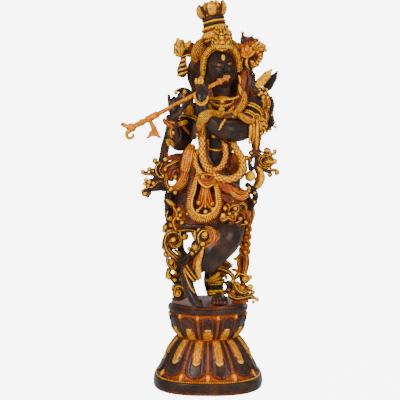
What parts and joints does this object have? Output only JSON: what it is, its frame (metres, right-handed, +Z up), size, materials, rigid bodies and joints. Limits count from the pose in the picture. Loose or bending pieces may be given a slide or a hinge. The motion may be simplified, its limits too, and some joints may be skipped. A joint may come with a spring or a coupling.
{
  "type": "krishna figure",
  "caption": "Cast-brass statue of a crowned flute player standing cross-legged in garlands and curling scarf ends, on an oval double-lotus pedestal.",
  "frame": {"origin": "centre of the pedestal's underside, on the surface that the statue stands on", "axes": "+Z up, +X to the viewer's right, +Y away from the viewer, so the figure faces -Y"},
  "size_m": [0.4478, 0.273, 1.1081],
  "materials": {
    "pedestal_brass": "dark brown patina, rubbed to gold on the petals",
    "patinated_brass": "dark brown patina with rubbed gold ornaments and an orange wash in the hollows",
    "gilt_brass": "rubbed gold with an orange wash"
  },
  "bodies": {
    "root": {"lotus_pedestal": "pedestal_brass", "krishna_figure": "patinated_brass", "flute": "gilt_brass"}
  },
  "joints": []
}
